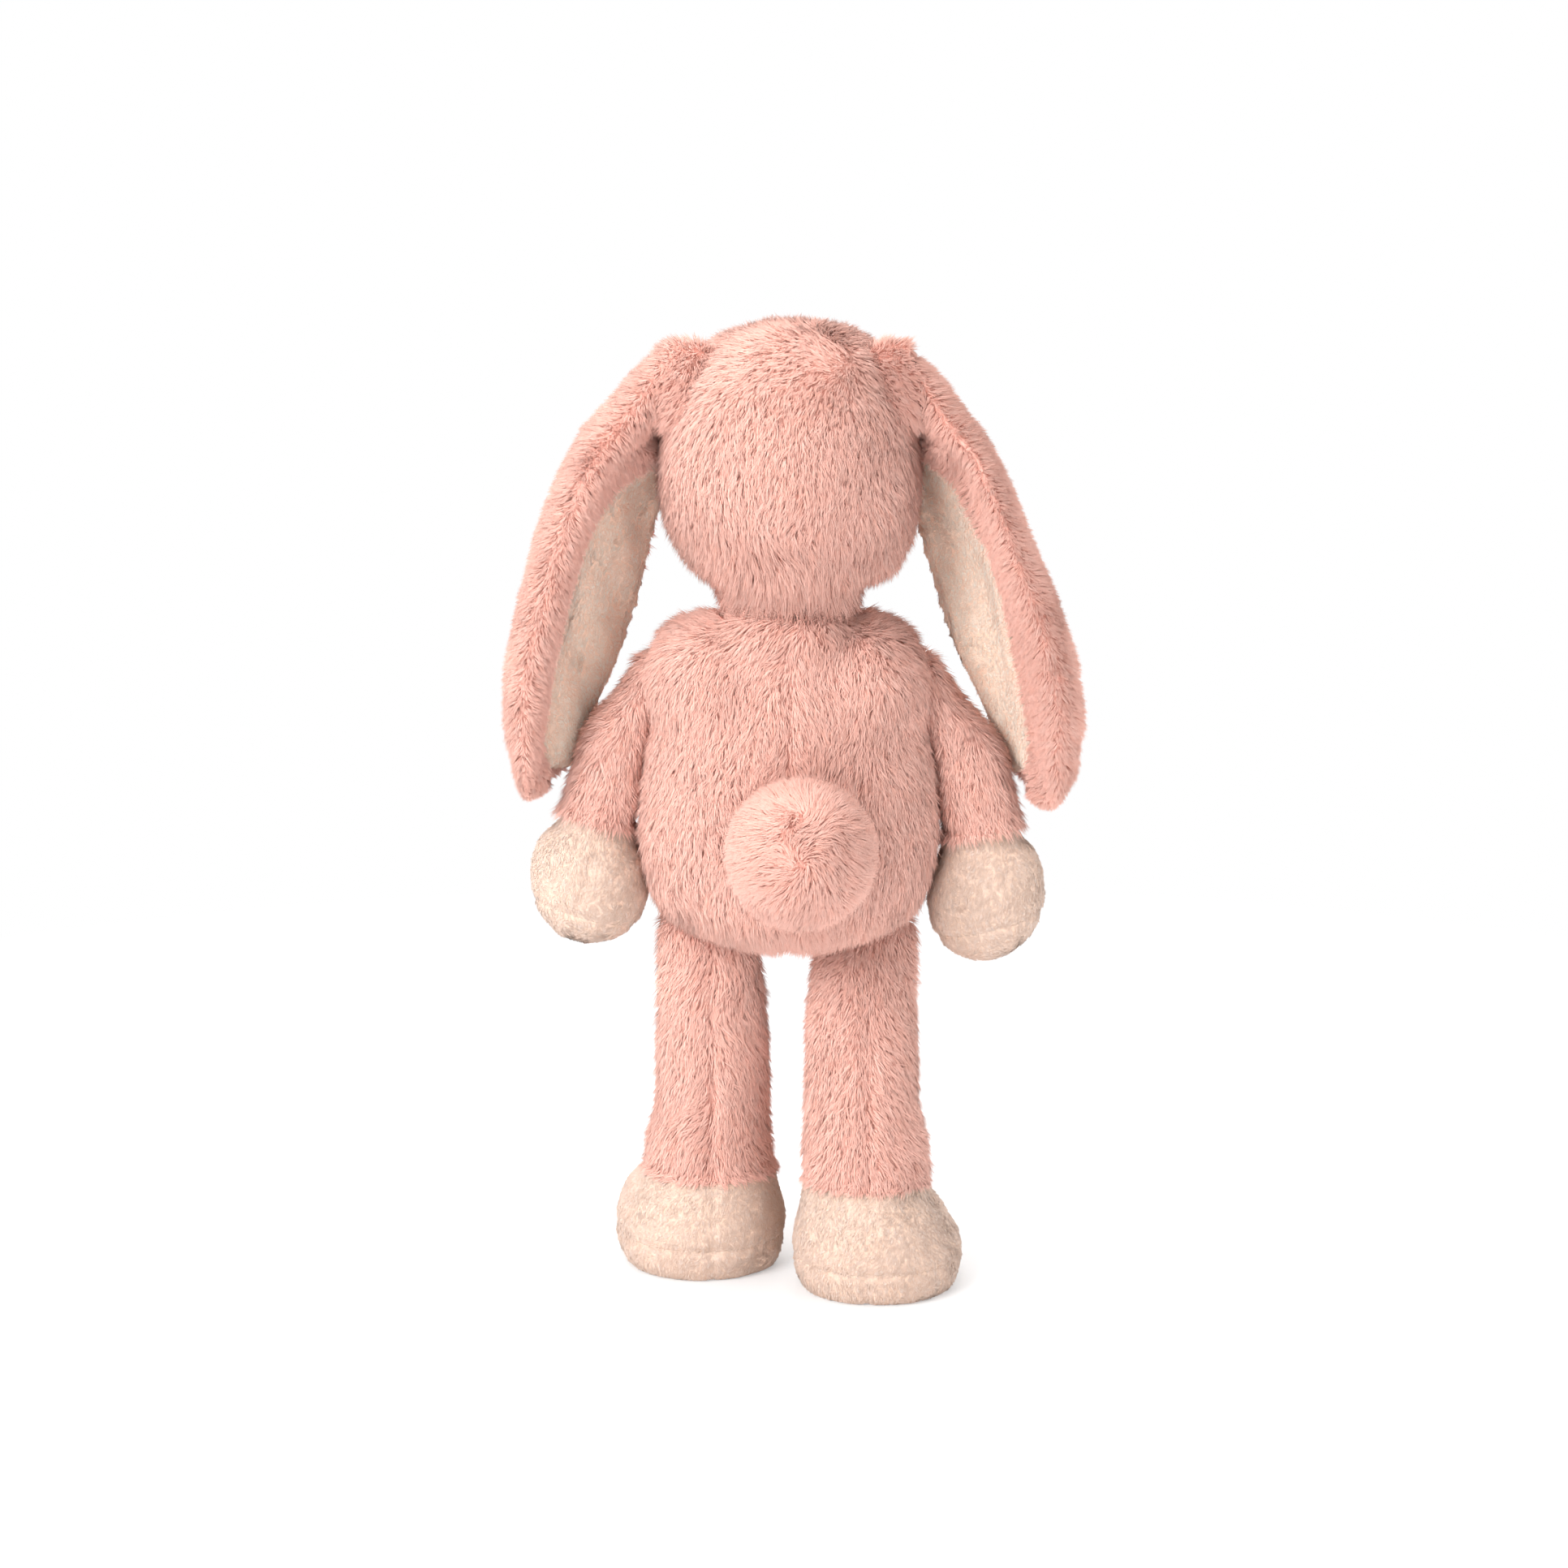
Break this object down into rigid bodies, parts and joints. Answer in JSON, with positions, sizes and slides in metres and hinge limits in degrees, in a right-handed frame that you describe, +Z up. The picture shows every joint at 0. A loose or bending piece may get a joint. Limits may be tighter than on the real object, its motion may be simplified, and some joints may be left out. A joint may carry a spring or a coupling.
{
  "type": "stuffed bunny rabbit",
  "caption": "Standing stuffed bunny with long hanging ears, pompom tail, soft limbs, lined ears, rounded paws and padded feet.",
  "frame": {"origin": "on the ground under the middle of the whole rabbit, seen from above", "axes": "+Z up, +X towards the left ear of the rabbit, -Y the way the face looks, +Y the back with the tail"},
  "size_m": [0.2172, 0.1546, 0.371],
  "materials": {
    "pink_plush": "soft pink long-pile plush, about 8 mm loose pile",
    "cream_velboa": "cream short-nap velboa",
    "fibre_filling": "loose polyester fibre filling",
    "pellet_bag_cloth": "plain woven cotton bag",
    "eye_plastic": "glossy dark brown moulded plastic",
    "washer_plastic": "white moulded plastic",
    "nose_thread": "satin stitch in dusky pink thread",
    "mouth_thread": "dusky pink embroidery thread"
  },
  "bodies": {
    "torso": {"body_back_left": "pink_plush", "body_back_right": "pink_plush", "body_front": "pink_plush", "body_stuffing": "fibre_filling", "seat_pellet_bag": "pellet_bag_cloth", "tail_cover": "pink_plush", "tail_stuffing": "fibre_filling"},
    "neck": {"neck_stuffing": "fibre_filling"},
    "head": {"head_back": "pink_plush", "head_gusset": "pink_plush", "left_cheek": "pink_plush", "right_cheek": "pink_plush", "head_stuffing": "fibre_filling", "left_eye": "eye_plastic", "right_eye": "eye_plastic", "left_eye_washer": "washer_plastic", "right_eye_washer": "washer_plastic", "nose": "nose_thread", "mouth": "mouth_thread"},
    "left_ear": {"left_ear_outer": "pink_plush", "left_ear_lining": "cream_velboa", "left_ear_padding": "fibre_filling"},
    "right_ear": {"right_ear_outer": "pink_plush", "right_ear_lining": "cream_velboa", "right_ear_padding": "fibre_filling"},
    "left_arm": {"left_arm_cover": "pink_plush", "left_paw_outer": "cream_velboa", "left_paw_inner": "cream_velboa", "left_paw_pad": "cream_velboa", "left_arm_stuffing": "fibre_filling"},
    "right_arm": {"right_arm_cover": "pink_plush", "right_paw_outer": "cream_velboa", "right_paw_inner": "cream_velboa", "right_paw_pad": "cream_velboa", "right_arm_stuffing": "fibre_filling"},
    "left_leg": {"left_leg_cover": "pink_plush", "left_foot_upper": "cream_velboa", "left_foot_sole": "cream_velboa", "left_leg_stuffing": "fibre_filling", "left_foot_pellet_bag": "pellet_bag_cloth"},
    "right_leg": {"right_leg_cover": "pink_plush", "right_foot_upper": "cream_velboa", "right_foot_sole": "cream_velboa", "right_leg_stuffing": "fibre_filling", "right_foot_pellet_bag": "pellet_bag_cloth"}
  },
  "joints": [
    {"name": "head_turn", "type": "hinge", "parent": "torso", "child": "neck", "pos_m": [0, -0.00729, 0.2685], "axis": [0, 0, 1], "range_deg": [-35, 35]},
    {"name": "head_nod", "type": "hinge", "parent": "neck", "child": "head", "pos_m": [0, -0.00729, 0.2685], "axis": [1, 0, 0], "range_deg": [-20, 20]},
    {"name": "left_ear_lift", "type": "hinge", "parent": "head", "child": "left_ear", "pos_m": [0.04408, -0.00529, 0.35497], "axis": [0, -1, 0], "range_deg": [0, 80]},
    {"name": "right_ear_lift", "type": "hinge", "parent": "head", "child": "right_ear", "pos_m": [-0.04408, -0.00529, 0.35497], "axis": [0, 1, 0], "range_deg": [0, 80]},
    {"name": "left_shoulder", "type": "hinge", "parent": "torso", "child": "left_arm", "pos_m": [0.05526, -0.01129, 0.24], "axis": [-0.9613, 0, -0.2756], "range_deg": [-40, 110]},
    {"name": "right_shoulder", "type": "hinge", "parent": "torso", "child": "right_arm", "pos_m": [-0.05672, -0.01129, 0.24], "axis": [-0.9703, 0, 0.2419], "range_deg": [-40, 110]},
    {"name": "left_hip", "type": "hinge", "parent": "torso", "child": "left_leg", "pos_m": [0.03, -0.01629, 0.1305], "axis": [-1, 0, 0], "range_deg": [-30, 60]},
    {"name": "right_hip", "type": "hinge", "parent": "torso", "child": "right_leg", "pos_m": [-0.03, -0.01629, 0.1305], "axis": [-1, 0, 0], "range_deg": [-18, 58]}
  ]
}
